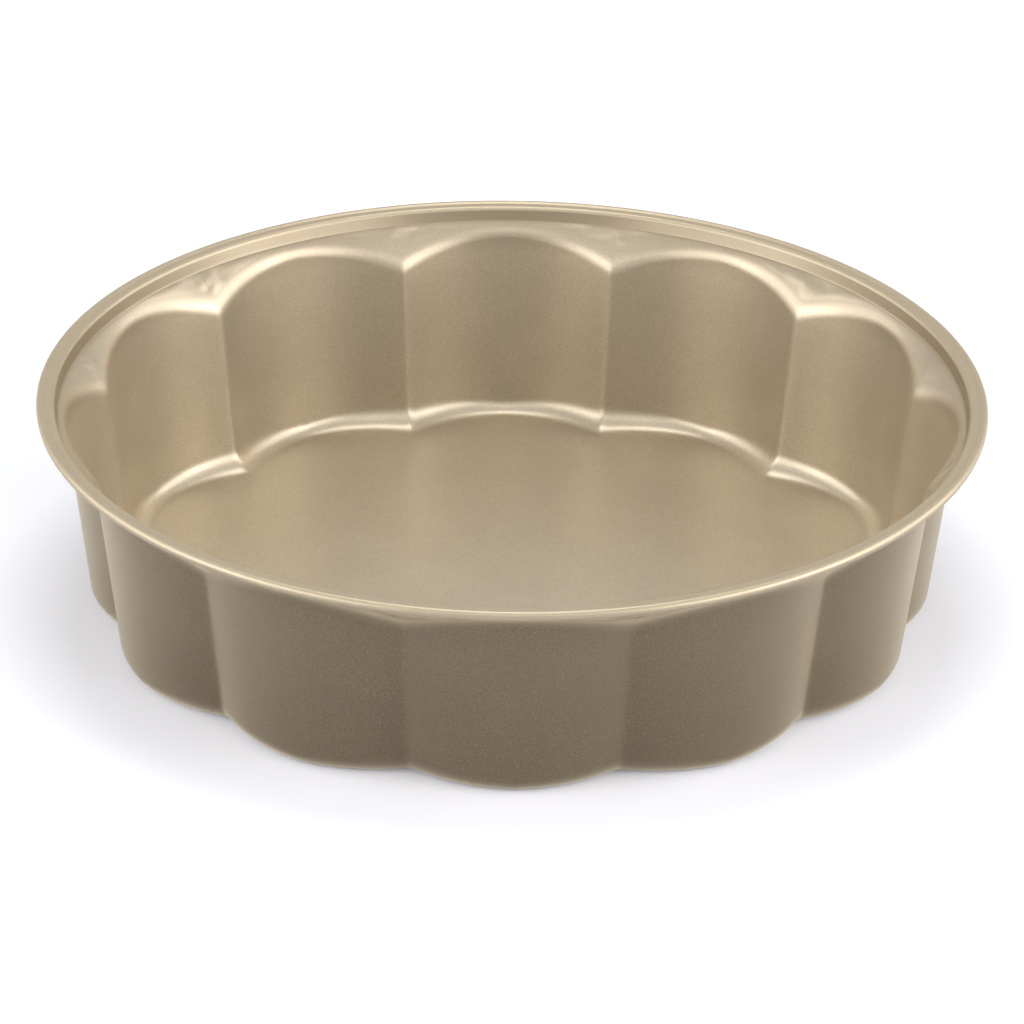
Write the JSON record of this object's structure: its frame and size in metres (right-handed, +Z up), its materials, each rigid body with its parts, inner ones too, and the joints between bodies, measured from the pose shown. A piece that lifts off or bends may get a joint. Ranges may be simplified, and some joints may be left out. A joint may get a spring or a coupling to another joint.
{
  "type": "brioche mould",
  "caption": "Round scalloped baking tin with outward-sloping lobed wall, plain collar and rolled rim, for brioche and cakes.",
  "frame": {"origin": "centre of the floor's underside, on the surface that the mould stands on", "axes": "+Z up out of the mould's mouth; -Y is the front, which the middle of one lobe faces"},
  "size_m": [0.28, 0.28, 0.066],
  "materials": {
    "coated_sheet": "satin metallic non-stick coat, champagne gold",
    "coated_rim": "satin metallic non-stick coat, champagne gold",
    "wire_steel": "drawn steel wire"
  },
  "bodies": {
    "root": {"pan_shell": "coated_sheet", "rolled_rim": "coated_rim", "rim_wire": "wire_steel"}
  },
  "joints": []
}
